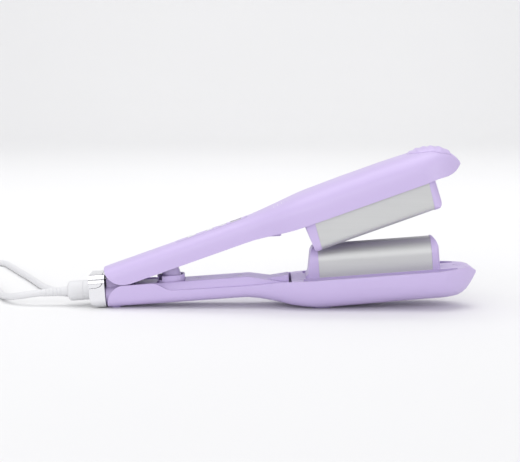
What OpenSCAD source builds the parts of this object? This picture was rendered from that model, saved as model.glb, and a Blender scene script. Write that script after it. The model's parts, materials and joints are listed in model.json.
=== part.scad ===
// Deep-wave hair iron with three barrels, lying open on its lower arm.
// Millimetres. X runs from the cord end to the nose, Y across the tool, Z up; the table is z = 0.
// Each arm is drawn along its own straight line: u along the arm from the hinge centre, v across, w up.

/* [Pose] */
// Nose-up tilt of the lower arm as it lies on the table, degrees
lower_tilt = 4.2; // [4.1:0.1:4.3]
// Angle between the two arms at rest, degrees
arm_opening = 15.5; // [15:0.5:16]
// Height of the point where the two arms' lines meet
meet_h = 37.3; // [37:0.1:38]

/* [Arms] */
// Length of the lower arm, from the hinge centre to its nose
lower_len = 298.5; // [297:0.5:300]
// Length of the upper arm, from the hinge centre to its nose
upper_len = 297; // [296:0.5:298]
// Half width of the handles
handle_half = 18; // [17.8:0.1:18.5]
// Half width of the heads
head_half = 31; // [31:0.1:31.5]
// Wall thickness of the casings
wall = 1.8; // [1.6:0.1:1.9]
// Radius of the upper arm's rounded rear corner
rear_r = 16.7; // [16.5:0.1:16.8]

/* [Barrels] */
// Where the heated barrels start along the arms
barrel_start = 165; // [164:0.5:166]
// Length of the lower barrel
lower_barrel_len = 95.7; // [95:0.1:96]
// Length of the two upper barrels
upper_barrel_len = 100.2; // [100:0.1:100.4]
// Radius of the lower barrel's round top
lower_barrel_r = 14.4; // [14:0.1:14.5]
// Height of the lower barrel's crest above the hinge centre line
lower_crest = 4; // [3.5:0.1:4]
// Radius of the upper barrels' round tips
upper_barrel_r = 5.5; // [5.2:0.1:5.5]
// Distance of each upper barrel from the middle of the tool
upper_barrel_v = 22.1; // [22:0.1:22.2]
// Depth of the upper barrels' tips below the hinge centre line
upper_tip = 43; // [42:0.1:43.2]

/* [Hinge and cord end] */
// Height of the hinge pin relative to the arms' meeting point
pin_w = -4.5; // [-4.6:0.1:-4.4]
// Radius of the hinge pin
pin_r = 1.5; // [1.4:0.1:1.6]
// Height of the cord's axis relative to the meeting point
cord_w = -21.1; // [-21.2:0.1:-21]
// Radius of the swivelling boot
boot_r = 8.5; // [8.3:0.1:8.6]
// Diameter of the cord
cord_d = 6; // [6:0.1:6.2]

/* [Hidden] */
$fn = 64;

lilac = [0.80, 0.74, 0.92];
silver = [0.78, 0.79, 0.80];
chrome = [0.86, 0.86, 0.88];
white = [0.95, 0.95, 0.96];
dark = [0.25, 0.25, 0.28];
brass = [0.80, 0.66, 0.36];
board_green = [0.15, 0.40, 0.25];
gap = 0.3;
eps = 0.01;
deck_w = -23;
handle_under = -17;
head_under = -19.5;
lower_barrel_end = barrel_start + lower_barrel_len;
upper_barrel_end = barrel_start + upper_barrel_len;
centre_x = -125.6;
upper_pin_u = pin_w * sin(arm_opening);
upper_pin_w = pin_w * cos(arm_opening);

// ---- Curves through [position, value] knots, with no overshoot between them ----
function segment(k, x, i = 0) = i >= len(k) - 2 || x < k[i + 1][0] ? i : segment(k, x, i + 1);
function secant(k, i) = (k[i + 1][1] - k[i][1]) / (k[i + 1][0] - k[i][0]);
function tangent(k, i) =
    i == 0 ? secant(k, 0)
    : i == len(k) - 1 ? secant(k, i - 1)
    : let(a = secant(k, i - 1), b = secant(k, i)) a * b <= 0 ? 0 : 2 * a * b / (a + b);
function smooth(k, x) =
    let(i = segment(k, x), h = k[i + 1][0] - k[i][0], t = min(1, max(0, (x - k[i][0]) / h)))
    (1 + 2 * t) * pow(1 - t, 2) * k[i][1] + t * pow(1 - t, 2) * h * tangent(k, i)
    + t * t * (3 - 2 * t) * k[i + 1][1] + t * t * (t - 1) * h * tangent(k, i + 1);
function arc(centre, rx, ry, from, to, steps) = [
    for (i = [0:steps]) let(a = from + (to - from) * i / steps) centre + [rx * cos(a), ry * sin(a)]
];

// ---- Outer forms of the two arms ----
// Half width of an arm at u: narrow handle, wide head, round nose
function half_width(u, length, nose) =
    u <= length - nose
    ? smooth([[0, handle_half], [104, handle_half], [124, handle_half + 4],
              [142, head_half - 3], [158, head_half], [200, head_half]], u)
    : head_half * pow(max(0.01, 1 - pow((u - length + nose) / nose, 1.5)), 0.8);
lower_nose = 32.5;
upper_nose = 35;
belly = [[-17, -36.2], [100, -36.3], [124, -40.6], [146, -47], [168, -49.6], [232, -48.6],
         [268, -48.4], [280, -47.6], [288, -43.8], [293, -38.2], [lower_len, -30.4]];
lower_rim = [[-17, -26], [104, -27.5], [150, -26], [286, -26], [lower_len, -29.6]];
skin_top = [[-17, -17.2], [24, -17.2], [40, -24.2], [103, -25], [141, deck_w], [290, deck_w],
            [lower_len, -28.4]];
back = [[-17, 2], [105, 2], [135, 3.8], [166, 6.4], [200, 7], [236, 7], [262, 6.3], [278, 4],
        [286, 0.6], [291, -4], [295, -9.4], [upper_len, -14]];
upper_rim = [[-17, -11], [150, -12.5], [280, -13.5], [upper_len, -15.3]];
under = [[-17, handle_under], [109, handle_under], [150, head_under], [272, head_under],
         [284, -20.8], [290, -20], [upper_len, -16.6]];
roundness = 2.8;
side_steps = 22;
function bulge(a) = let(c = cos(a), s = sin(a))
    [sign(c) * pow(abs(c), 2 / roundness), pow(abs(s), 2 / roundness)];

// One cross-section of the lower arm, drawn d inside its surface
function lower_ring(u, d) =
    let(a = half_width(u, lower_len, lower_nose) - d, rim = smooth(lower_rim, u),
        h = rim - smooth(belly, u) - d, top = d == 0 ? smooth(skin_top, u) : 12)
    concat([[u, a, top]],
           [for (i = [0:side_steps]) let(p = bulge(180 * i / side_steps)) [u, a * p[0], rim - h * p[1]]],
           [[u, -a, top]]);
// One cross-section of the upper arm, drawn d inside its surface
function upper_ring(u, d) =
    let(a = half_width(u, upper_len, upper_nose) - d, rim = smooth(upper_rim, u),
        h = smooth(back, u) - d - rim, low = d > 0 ? -50 : smooth(under, u))
    concat([[u, -a, low]],
           [for (i = [side_steps:-1:0]) let(p = bulge(180 * i / side_steps)) [u, a * p[0], rim + h * p[1]]],
           [[u, a, low]]);
// A closed skin over a row of rings
module skin(rings) {
    n = len(rings[0]);
    m = len(rings);
    polyhedron(
        points = [for (r = rings) each r],
        faces = concat(
            [[for (i = [n - 1:-1:0]) i]],
            [[for (i = [0:n - 1]) (m - 1) * n + i]],
            [for (j = [0:m - 2], i = [0:n - 1])
                let(k = (i + 1) % n) [j * n + i, j * n + k, (j + 1) * n + k, (j + 1) * n + i]]));
}
middle_stations = [for (u = [104:9:167]) u];
lower_stations = concat([-16.2, 24, 28, 32, 36, 40, 70, 100], middle_stations, [200, 232],
                        [for (i = [0:9]) lower_len - lower_nose * (1 - sin(90 * i / 10))], [lower_len]);
upper_stations = concat([-17, 60, 100], middle_stations, [200, 236],
                        [for (i = [0:9]) upper_len - upper_nose * (1 - sin(90 * i / 10))], [upper_len]);
lower_nose_wall = 9.6;
upper_nose_wall = 6;
module lower_form() skin([for (u = lower_stations) lower_ring(u, 0)]);
module lower_inside(d) skin([for (u = concat([-30, 24, 100], middle_stations, [200, 232, 266, 274, 281, 285],
                                             [lower_len - lower_nose_wall])) lower_ring(u, d)]);
module upper_form(grow = 0) skin([for (u = upper_stations) upper_ring(u, -grow)]);
module upper_inside(d) skin([for (u = concat([-30, 100], middle_stations, [200, 236, 262, 270, 278, 285],
                                             [upper_len - upper_nose_wall])) upper_ring(u, d)]);

// ---- Placing and drawing helpers ----
module on_lower() translate([centre_x, 0, meet_h]) rotate([0, -lower_tilt, 0]) children();
module on_upper() translate([centre_x, 0, meet_h]) rotate([0, -lower_tilt - arm_opening, 0]) children();
// Side outline in (u, w), given a width across the tool
module across(width) rotate([90, 0, 0]) linear_extrude(width, center = true) children();
// Cross-section in (v, w), run along the arm
module along(from, to) translate([from, 0, 0]) rotate([90, 0, 90]) linear_extrude(to - from) children();
module block(u, v, w) translate([u[0], v[0], w[0]]) cube([u[1] - u[0], v[1] - v[0], w[1] - w[0]]);
module both_sides() {
    children();
    mirror([0, 1, 0]) children();
}
// A round bar across the tool
module cross_bar(r, half) rotate([90, 0, 0]) cylinder(r = r, h = 2 * half, center = true);
// A round solid on the cord's axis, from an outline of [radius, u]
module on_cord_axis() translate([0, 0, cord_w]) rotate([0, 90, 0]) children();
module rounded(size, r) {
    square(size - [2 * r, 0], center = true);
    square(size - [0, 2 * r], center = true);
    for (x = [-1, 1], y = [-1, 1]) translate([x * (size[0] / 2 - r), y * (size[1] / 2 - r)]) circle(r);
}

// ---- Lower arm ----
lower_screw_u = [62, 98];
upper_screw_u = [116, 142];
screw_r = 1.4;
head_r = 2.6;
boss_r = 3;
land_w = -23.4;
module rear_skin_cut() across(60) polygon(concat(
    [[-40, -60], [-40, 0], [-1, 0]],
    arc([-1, -35], 14.4, 17.8, 90, 185, 12),
    [[-15.4, -60]]));
foot_h = 1.2;
module feet(h) linear_extrude(h) {
    translate([centre_x + 168, 0]) rounded([16, 24], 4);
    translate([centre_x - 7, 0]) rounded([9, 18], 3);
}
module lower_shell() color(lilac) difference() {
    on_lower() difference() {
        union() {
            difference() {
                lower_form();
                lower_inside(wall);
            }
            intersection() {
                lower_form();
                for (u = lower_screw_u) translate([u, 0, -50]) cylinder(r = boss_r, h = 50 + land_w);
            }
        }
        rear_skin_cut();
        for (u = lower_screw_u) translate([u, 0, -30.5]) cylinder(r = screw_r, h = 20);
    }
    translate([0, 0, -1]) feet(foot_h + 1);
}
cover_edge = 15.9;
cover_flat = 12;
cover_top = -18;
cover_low = -24.4;
cover_u = [8, 139];
cover_skin = 1.6;
// Raised middle of the cover, drawn d inside its surface
module cover_hump(d) intersection() {
    along(cover_u[0] - d, cover_u[1] + d) polygon([
        [-cover_edge + d, -28 - d], [-cover_edge + d, cover_low - d / 2],
        [-cover_flat - 0.9 + d, cover_top - 0.6 - d], [-cover_flat + d, cover_top - d],
        [cover_flat - d, cover_top - d], [cover_flat + 0.9 - d, cover_top - 0.6 - d],
        [cover_edge - d, cover_low - d / 2], [cover_edge - d, -28 - d]]);
    across(60) polygon([[0, -40], [0, cover_top - d], [105, cover_top - d], [134, cover_low - d],
                        [142, cover_low - d], [142, -40]]);
}
cup_u = [27.4, 50.8];
cup_v = 10;
cup_floor = -31.5;
cup_rim = -13;
module lower_handle_cover() color(lilac) on_lower() difference() {
    union() {
        difference() {
            union() {
                cover_hump(0);
                intersection() {
                    lower_inside(wall + 0.05);
                    block(cover_u, [-40, 40], [cover_low - 1.6, cover_low]);
                }
            }
            cover_hump(cover_skin);
        }
        // Lands for the screws
        for (u = lower_screw_u) translate([u, 0, land_w]) cylinder(r = 4.2, h = 4);
        // Ramp that meets the head
        intersection() {
            along(117, cover_u[1]) polygon([[-9, -25.5], [-8, -19.4], [8, -19.4], [9, -25.5]]);
            across(60) polygon([[117, -25.5], [117, -21.6], [cover_u[1], -19.4], [cover_u[1], -25.5]]);
        }
    }
    block(cup_u + [-gap, gap], [-cup_v - gap, cup_v + gap], [-40, 0]);
    for (u = lower_screw_u) {
        translate([u, 0, -19.6]) cylinder(r = head_r + 0.1, h = 5);
        translate([u, 0, -30]) cylinder(r = screw_r + 0.1, h = 20);
    }
}
channel_r = 6.2;
channel_u = [151.5, 281];
channel_floor = -36;
module channel(grow) {
    along(channel_u[0] - grow, channel_u[1] + grow) {
        translate([upper_barrel_v, channel_floor + channel_r]) circle(channel_r + grow);
        translate([upper_barrel_v - channel_r - grow, channel_floor + channel_r])
            square([2 * (channel_r + grow), 20]);
    }
}
module lower_tray() color(lilac) on_lower() difference() {
    intersection() {
        lower_inside(wall + 0.05);
        union() {
            block([141.2, 289], [-40, 40], [deck_w - 2, deck_w]);
            both_sides() intersection() {
                channel(1.1);
                block([140, 288], [0, 40], [-50, deck_w]);
            }
        }
    }
    intersection() {
        both_sides() channel(0);
        lower_inside(wall + 1);
    }
    // Wires pass up into the barrel
    block([178, 248], [-6, 6], [-30, 0]);
    // Narrow vents behind and ahead of the barrel
    both_sides() {
        block([145.8, 150.6], [16.8, 18], [-30, 0]);
        block([279.5, 283.5], [3.5, 4.7], [-30, 0]);
    }
}
module d_section(r, low) {
    intersection() {
        translate([0, lower_crest - lower_barrel_r]) circle(r);
        translate([-r, lower_crest - lower_barrel_r - eps]) square([2 * r, r + 1]);
    }
    translate([-r, low]) square([2 * r, lower_crest - lower_barrel_r - low]);
}
module lower_barrel() color(silver) on_lower() along(barrel_start, lower_barrel_end) difference() {
    d_section(lower_barrel_r, deck_w);
    d_section(lower_barrel_r - 1.6, deck_w - 1);
}
cap_proud = 0.5;
module lower_cap(outline, plan) color(lilac) on_lower() intersection() {
    along(150, 270) d_section(lower_barrel_r + cap_proud, deck_w);
    across(60) polygon(outline);
    translate([0, 0, -30]) linear_extrude(50) polygon(plan);
}
module lower_cap_rear() lower_cap(
    concat([[barrel_start, deck_w], [153.4, deck_w], [153.8, deck_w + 1.6], [155.6, deck_w + 3.6]],
           arc([barrel_start, -6], 7, 10.5, 180, 90, 8)),
    concat([[barrel_start, -20]], arc([158, -9], 4.6, 6, 270, 180, 6), arc([158, 9], 4.6, 6, 180, 90, 6),
           [[barrel_start, 20]]));
module lower_cap_front() lower_cap(
    concat([[lower_barrel_end, deck_w], [lower_barrel_end + 6.7, deck_w]],
           arc([lower_barrel_end, -8], 6.3, 12.5, 0, 90, 8)),
    concat([[lower_barrel_end, 20]], arc([263.4, 9], 4, 6, 90, 0, 6), arc([263.4, -9], 4, 6, 0, -90, 6),
           [[lower_barrel_end, -20]]));
module lower_heater() color(dark) on_lower() {
    block([170, 256], [-7, 7], [-2.6, 0.2]);
}
module heater_clip() color(silver) on_lower() {
    for (u = [182, 212, 242]) {
        block([u, u + 6], [-7, 7], [-3.2, -2.6]);
        block([u, u + 6], [-7, -6.2], [-23, -3.2]);
        block([u, u + 6], [6.2, 7], [-23, -3.2]);
    }
}
module thermal_fuse() color(silver) on_lower()
    translate([192, 0, -5]) rotate([0, 90, 0]) cylinder(r = 1.8, h = 12);
// An upright post with rounded corners, as long and wide as u and half say
module post(u, half, w, r) translate([(u[0] + u[1]) / 2, 0, w[0]])
    linear_extrude(w[1] - w[0]) rounded([u[1] - u[0], 2 * half], r);
module spring_cup() color(lilac) on_lower() difference() {
    post(cup_u, cup_v, [cup_floor, cup_rim], 8);
    post(cup_u + [1.5, -1.5], cup_v - 1.5, [cup_floor + 1.5, 0], 6.5);
    // Notch in the near wall
    block([27, 31.8], [-cup_v - 1, 0], [-16.4, 0]);
}
ear_r = 3;
ear_half = 9.8;
block_u = [-16.4, 7.5];
bolt_u = [-27, -8];
bolt_w = [-12.1, -10.3];
module hinge_block() color(lilac) on_lower() difference() {
    union() {
        // Body below the cheeks
        along(block_u[0], block_u[1]) translate([0, -25.8]) rounded([29, 15.6], 7.7);
        // Ears that carry the pin, between the upper arm's cheeks
        across(2 * ear_half) polygon(concat(
            [[-15.6, -22], [-15.6, -12]], arc([0, pin_w], ear_r, ear_r, 120, 20, 10), [[5, -22]]));
    }
    translate([0, 0, pin_w]) cross_bar(pin_r, 30);
    // Bore for the leads
    on_cord_axis() translate([0, 0, -30]) cylinder(r = 4, h = 60);
    // Slot for the lock bolt
    block([-30, bolt_u[1] + 4], [-4.4, 4.4], [bolt_w[0] - gap, bolt_w[1] + gap]);
}
pin_half = 15.2;
module hinge_pin() color(silver) on_lower() translate([0, 0, pin_w]) cross_bar(pin_r, pin_half);
cheek_in = 10.3;
module hinge_washers() color(silver) on_lower() both_sides()
    translate([0, ear_half, pin_w]) rotate([-90, 0, 0]) difference() {
        cylinder(r = ear_r, h = cheek_in - ear_half - 0.1);
        translate([0, 0, -1]) cylinder(r = pin_r + 0.05, h = 3);
    }
module rest_feet() color(lilac) feet(foot_h);
module screws(list, w) for (u = list) translate([u, 0, w]) {
    cylinder(r = screw_r, h = 9);
    translate([0, 0, -1.4]) difference() {
        cylinder(r = head_r, h = 1.4);
        translate([0, 0, -0.5]) {
            translate([-1.8, -0.25, 0]) cube([3.6, 0.5, 1]);
            translate([-0.25, -1.8, 0]) cube([0.5, 3.6, 1]);
        }
    }
}
module lower_screws() color(silver) on_lower() mirror([0, 0, 1]) screws(lower_screw_u, 19.6);
module lower_wires() color(white) on_lower() for (v = [-5, 5])
    translate([block_u[1] + 0.5, v, -33.2]) rotate([0, 90, 0]) cylinder(r = 0.9, h = 168);

// ---- Cord end ----
collar_u = [-30, -16.6];
collar_half = 17.2;
collar_h = 28.6;
collar_low = cord_w - collar_h / 2;
collar_top = cord_w + collar_h / 2;
collar_skin = 2.4;
module collar_solid() intersection() {
    along(collar_u[0], collar_u[1]) translate([0, cord_w]) rounded([2 * collar_half, collar_h], 8);
    across(60) polygon(concat(
        [[collar_u[1], collar_low], [-24.5, collar_low], [-28.6, -31.6]],
        arc([-28, -25], 2, 5, 210, 180, 3), arc([-28, collar_top - 2.2], 2, 2.2, 180, 90, 6),
        [[collar_u[1], collar_top]]));
}
module collar_hollow() {
    along(collar_u[0] + collar_skin, collar_u[1] + 1) translate([0, cord_w])
        rounded([2 * (collar_half - collar_skin), collar_h - 2 * collar_skin], 5.6);
    on_cord_axis() translate([0, 0, -40]) cylinder(r = boot_r + gap, h = 30);
}
// Side outline of the part of the collar that slides as the lock
module lock_outline(d) across(60) polygon(concat(
    [[-45, 0], [-45, -17.9 + d], [-24.5, -17.9 + d]],
    arc([-24.5, -13.5 + d], 6.4 - d, 4.4, 270, 350, 6),
    [[-17.9 - d, -12.6], [-17.9 - d, 0]]));
module collar_band() color(chrome) on_lower() difference() {
    collar_solid();
    collar_hollow();
    lock_outline(0);
}
module lock_slide() color(chrome) on_lower() difference() {
    intersection() {
        collar_solid();
        lock_outline(0.35);
    }
    collar_hollow();
    on_cord_axis() translate([0, 0, -40]) cylinder(r = boot_r + 0.7, h = 30);
}
module lock_bolt() color(silver) on_lower() {
    block([bolt_u[0], bolt_u[1]], [-4, 4], bolt_w);
    block([bolt_u[0], bolt_u[0] + 2.5], [-4, 4], [bolt_w[1], collar_top - collar_skin]);
}
bush_r = 8;
stub_r = 5;
bush_u = [-27.2, -16.6];
module turned(outline) on_cord_axis() rotate_extrude() polygon(outline);
module swivel_bush() color(dark) on_lower() turned([
    [stub_r + 0.05, bush_u[0]], [bush_r, bush_u[0]], [bush_r, bush_u[1]], [5.2, bush_u[1]], [5.2, -17.2],
    [6.4, -17.2], [6.4, -19.6], [stub_r + 0.05, -19.6]]);
module swivel_boot() color(white) on_lower() turned(concat(
    [[4.2, -50], [5.2, -50]], [for (p = arc([-46.4, 5.2], 3.6, 3.3, 180, 90, 8)) [p[1], p[0]]],
    [[boot_r, -27.5], [stub_r, -27.5], [stub_r, -19.4], [6.1, -19.4], [6.1, -17.5], [2, -17.5], [2, -44],
     [4.2, -44]]));
relief_end = -72;
relief_ribs = 5;
module strain_relief() color(white) on_lower() turned(concat(
    [[0, -44], [0, relief_end], [cord_d / 2 + 0.3, relief_end]],
    [for (i = [0:relief_ribs - 1], p = [[0, 0], [0, 2.6], [-0.5, 3], [-0.5, 3.8]])
        let(u = relief_end + 4 * i + p[1], r = cord_d / 2 + 0.3 + 0.9 * (u - relief_end) / 22) [r + p[0], u]],
    [[4.2, -51.4], [4.2, -44]]));
module contact_pin() color(brass) on_lower() turned([[0, -43], [2, -43], [2, -14], [0, -14]]);

// ---- Upper arm ----
module upper_rear_cut() {
    // Round rear corner, with everything behind it taken off
    across(60) difference() {
        translate([-40, -60]) square([40, 60]);
        circle(rear_r);
    }
}
module upper_shell() color(lilac) on_upper() difference() {
    union() {
        difference() {
            upper_form();
            upper_inside(wall);
            upper_rear_cut();
        }
        // Bearing bosses for the hinge pin
        both_sides() intersection() {
            translate([upper_pin_u, cheek_in, upper_pin_w]) rotate([-90, 0, 0]) cylinder(r = 5, h = 5.5);
            upper_form();
        }
        intersection() {
            upper_form();
            for (u = upper_screw_u) translate([u, 0, handle_under + 4.6]) cylinder(r = boss_r, h = 20);
            block([0, 200], [-10, 10], [-14, 4]);
        }
    }
    translate([upper_pin_u, 0, upper_pin_w]) cross_bar(pin_r + 0.05, pin_half + 0.2);
    for (u = upper_screw_u) translate([u, 0, -20]) cylinder(r = screw_r, h = 17);
    // Panel opening
    panel_prism(0.15, -20, 20);
}
upper_cover_top = -15.2;
module upper_handle_cover() color(lilac) on_upper() difference() {
    union() {
        intersection() {
            upper_inside(wall + 0.05);
            block([16, 150], [-40, 40], [handle_under - 3, upper_cover_top]);
            across(80) polygon([[16, handle_under], [109, handle_under], [130, -18.2],
                                [150, head_under + 0.1], [150, 0], [16, 0]]);
        }
        // Lip that drops to a step ahead of the head
        across(24) polygon([[119, -16.9], [119, -17.6], [133, -21.8], [134.4, -21.8], [134.4, -16.9]]);
        for (u = upper_screw_u) translate([u, 0, -17]) cylinder(r = 4.2, h = 4.6);
    }
    block([22.5, 51.5], [-13, 13], [-30, 0]);
    for (u = upper_screw_u) {
        translate([u, 0, -30]) cylinder(r = head_r + 0.1, h = 14.6);
        translate([u, 0, -30]) cylinder(r = screw_r + 0.1, h = 20);
    }
}
valley_half = 15.1;
valley_top = -4;
valley_wall = 1.2;
valley_u = [151.6, 274];
module upper_tray() color(lilac) on_upper() difference() {
    intersection() {
        upper_inside(wall + 0.05);
        union() {
            block([150.3, upper_len - 8], [-40, 40], [head_under, head_under + 1.8]);
            block([150.3, valley_u[1] + valley_wall],
                  [-valley_half - valley_wall, valley_half + valley_wall],
                  [head_under, valley_top + valley_wall]);
        }
    }
    block([valley_u[0], valley_u[1]], [-valley_half, valley_half], [-30, valley_top]);
    // Seats for the barrels
    both_sides() block([barrel_start, upper_barrel_end],
                       [upper_barrel_v - upper_barrel_r - 0.1, upper_barrel_v + upper_barrel_r + 0.1],
                       [-30, 0]);
}
finger_top = -16;
module finger(r, half) translate([upper_barrel_v, 0]) {
    translate([0, -upper_tip + upper_barrel_r]) circle(r);
    translate([-half, -upper_tip + upper_barrel_r])
        square([2 * half, finger_top + upper_tip - upper_barrel_r]);
}
// The barrels' ends lean back towards the tips
lean = 2.2;
module between_ends() across(80) polygon([
    [barrel_start, finger_top + 1], [barrel_start - lean, -upper_tip - 1],
    [upper_barrel_end - 1.4 * lean, -upper_tip - 1], [upper_barrel_end, finger_top + 1]]);
module upper_barrels() color(silver) on_upper() both_sides() intersection() {
    along(barrel_start - 6, upper_barrel_end + 6) difference() {
        finger(upper_barrel_r, upper_barrel_r);
        translate([0, eps]) finger(upper_barrel_r - 1.3, upper_barrel_r - 1.3);
    }
    between_ends();
}
module upper_caps(outline, plan) color(lilac) on_upper() both_sides() difference() {
    intersection() {
        along(150, 280) finger(upper_barrel_r + 0.35, upper_barrel_r + 0.35);
        across(80) polygon(outline);
        translate([0, 0, -60]) linear_extrude(60) polygon(plan);
    }
    between_ends();
}
cap_low = -upper_tip - 0.4;
cap_high = head_under - 0.2;
module upper_caps_rear() upper_caps(
    concat([[barrel_start + 1, cap_high], [155.7, cap_high]], arc([160.2, cap_low + 3], 3, 3, 185, 270, 6),
           [[barrel_start + 1, cap_low]]),
    [[barrel_start + 1, 10], [155, 10], [155, 25], [158, 30], [barrel_start + 1, 30]]);
module upper_caps_front() upper_caps(
    concat([[upper_barrel_end - 6, cap_high], [271, cap_high], [270.4, -30]],
           arc([264.6, cap_low + 6.4], 5.4, 6.4, 0, -90, 8), [[upper_barrel_end - 6, cap_low]]),
    concat([[upper_barrel_end - 6, 10], [271, 10]], arc([260.5, 17.5], 10.5, 10.5, 0, 90, 8),
           [[upper_barrel_end - 6, 28]]));
module upper_heaters() color(dark) on_upper() both_sides()
    block([170, 261], [upper_barrel_v - 1.4, upper_barrel_v + 1.4], [-40, -22]);
module thermostat() color(silver) on_upper() translate([214, 22, -13.5]) {
    cylinder(r = 4.5, h = 6);
}
module upper_wires() color(white) on_upper() for (v = [-6, 6])
    translate([112.5, v, -5]) rotate([0, 90, 0]) cylinder(r = 0.9, h = 36);
// Ribbed grip, a low dome on top of the nose
pad_u = [256, 291.4];
pad_top = [[pad_u[0], 6.2], [261, 7.7], [266, 8.1], [272, 7.5], [278, 6.1], [286, 2.3], [pad_u[1], -2.6]];
pad_width = [[pad_u[0], 3], [259, 8], [264, 12.6], [270, 15], [284, 15], [pad_u[1], 12.5]];
rib_pitch = 6.2;
rib_height = 0.4;
pad_steps = 48;
function pad_ring(u) =
    let(a = half_width(u, upper_len, upper_nose), half = min(smooth(pad_width, u), 0.78 * a),
        rim = smooth(upper_rim, u),
        foot = rim + (smooth(back, u) - rim) * pow(1 - pow(half / a, roundness), 1 / roundness) - 0.4,
        fade = min(1, (u - pad_u[0]) / 6, (pad_u[1] - u) / 3),
        top = smooth(pad_top, u) + fade * rib_height * cos(360 * (u - 266) / rib_pitch))
    concat([[u, -half, foot - 5]],
           [for (i = [14:-1:0]) let(t = 180 * i / 14) [u, half * cos(t), foot + (top - foot) * sin(t)]],
           [[u, half, foot - 5]]);
module thumb_pad() color(lilac) on_upper() difference() {
    skin([for (i = [0:pad_steps]) pad_ring(pad_u[0] + (pad_u[1] - pad_u[0]) * i / pad_steps)]);
    upper_form();
}
panel_u = [48, 112];
panel_half = 7;
module panel_prism(grow, low, high)
    translate([(panel_u[0] + panel_u[1]) / 2, 0, low]) linear_extrude(high - low)
        rounded([panel_u[1] - panel_u[0] + 2 * grow, 2 * panel_half + 2 * grow], 4);
button_u = [62, 78, 90];
button_r = [4.4, 3.6, 3.6];
window_u = [97, 107];
module control_panel() color(lilac) on_upper() difference() {
    intersection() {
        upper_form(0.2);
        panel_prism(0, 0.4, 6);
    }
    for (i = [0:2]) translate([button_u[i], 0, -5]) cylinder(r = button_r[i] + gap, h = 20);
    block(window_u, [-4.5, 4.5], [-5, 10]);
}
module display_window() color(dark) on_upper() block(window_u + [0.05, -0.05], [-4.45, 4.45], [0.6, 1.9]);
module button(i) on_upper() translate([button_u[i], 0, 0]) {
    translate([0, 0, 0.9]) cylinder(r = button_r[i], h = 1.9);
    translate([0, 0, -2]) cylinder(r = 1.2, h = 3);
}
module power_button() color(white) button(0);
module minus_button() color(white) button(1);
module plus_button() color(white) button(2);
board_w = [-6, -4.6];
module control_board() color(board_green) on_upper() block([54, 112], [-8, 8], board_w);
module button_switches() color(dark) on_upper() for (u = button_u)
    block([u - 2.2, u + 2.2], [-2.2, 2.2], [board_w[1], -2.9]);
sleeve_u = [27.6, 42.4];
module spring_sleeve() color(lilac) on_upper() difference() {
    union() {
        post(sleeve_u, 7.4, [-28, -7.4], 6);
        block([24, 46], [-11, 11], [-9.4, -7.4]);
    }
    post(sleeve_u + [1.4, -1.4], 6, [-30, -9.4], 4.6);
}
spring_r = 3.2;
spring_low = cup_floor + 2.9;
spring_len = 27;
module return_spring() color(silver) on_lower()
    translate([40.5, 0, spring_low]) rotate([0, -8.5, 0]) difference() {
        cylinder(r = spring_r, h = spring_len);
        translate([0, 0, -1]) cylinder(r = spring_r - 0.9, h = spring_len + 2);
    }
module upper_screws() color(silver) on_upper() screws(upper_screw_u, -15.4);

// ---- Cord: out of the boot, past the left of the tool and round behind it to the coil ----
cord_r = cord_d / 2;
cord_start = [centre_x + relief_end * cos(lower_tilt) - cord_w * sin(lower_tilt), 0,
              meet_h + relief_end * sin(lower_tilt) + cord_w * cos(lower_tilt)];
coil_centre = [66, 86];
coil_r = 33;
coil_layers = 2;
coil_across = 3;
coil_floor = 0.8;
tie_skin = 0.7;
route = [
    [-208, 0.8, 9.4], [-219, 5.5, 7.2], [-229, 17, 5], [-236.5, 33, 3.4], [-243, 55, 3], [-252, 83, 3],
    [-266, 111, 3], [-284, 140, 3], [-299, 168, 3], [-305, 195, 3], [-299, 217, 3], [-283, 226, 3],
    [-267, 217, 3], [-256, 196, 3], [-245, 170, 3], [-231, 138, 3], [-217, 104, 3], [-203, 72, 3],
    [-185, 50, 3], [-160, 39, 3], [-130, 37, 3], [-100, 40, 3], [-70, 43.5, 3], [-35, 46.4, 3],
    [0, 47, 3], [30, 47, 3.3]
];
cord_end = [coil_centre[0] - 10, coil_centre[1] - coil_r - cord_d, coil_floor + cord_r];
plug_x = [111, 134];
plug_y = 50;
plug_z = 7;
// From the outermost upper turn of the coil down to the plug
tail_start = [coil_centre[0] + 14, coil_centre[1] - coil_r - cord_d, coil_floor + 3 * cord_r];
tail_points = [tail_start, tail_start + [8, 0, -0.2], tail_start + [16, 0.8, -0.9],
               [plug_x[0] - 8, plug_y - 0.8, plug_z + 0.8], [plug_x[0], plug_y, plug_z]];
axis_dir = [-cos(lower_tilt), 0, -sin(lower_tilt)];
cord_points = concat([cord_start, cord_start + 4 * axis_dir], route, [cord_end]);
function knot(p, i) = p[max(0, min(len(p) - 1, i))];
function spline(p, i, t) =
    0.5 * (2 * knot(p, i) + t * (knot(p, i + 1) - knot(p, i - 1))
    + t * t * (2 * knot(p, i - 1) - 5 * knot(p, i) + 4 * knot(p, i + 1) - knot(p, i + 2))
    + t * t * t * (3 * knot(p, i) - knot(p, i - 1) - 3 * knot(p, i + 1) + knot(p, i + 2)));
function finer(p) = concat([for (i = [0:len(p) - 2], t = [0, 0.5]) spline(p, i, t)], [p[len(p) - 1]]);
function heading(p, i, first) = i == 0 ? first
    : i == len(p) - 1 ? [1, 0, 0]
    : let(d = p[i + 1] - p[i - 1]) d / norm(d);
function tube_ring(p, i, first) =
    let(d = heading(p, i, first), side = cross(d, [0, 0, 1]) / norm(cross(d, [0, 0, 1])), up = cross(side, d))
    [for (j = [0:9]) p[i] + cord_r * (cos(36 * j) * side + sin(36 * j) * up)];
module tube(p, first) skin([for (i = [0:len(p) - 1]) tube_ring(p, i, first)]);
module cord() color(white) tube(finer(cord_points), axis_dir);
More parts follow.
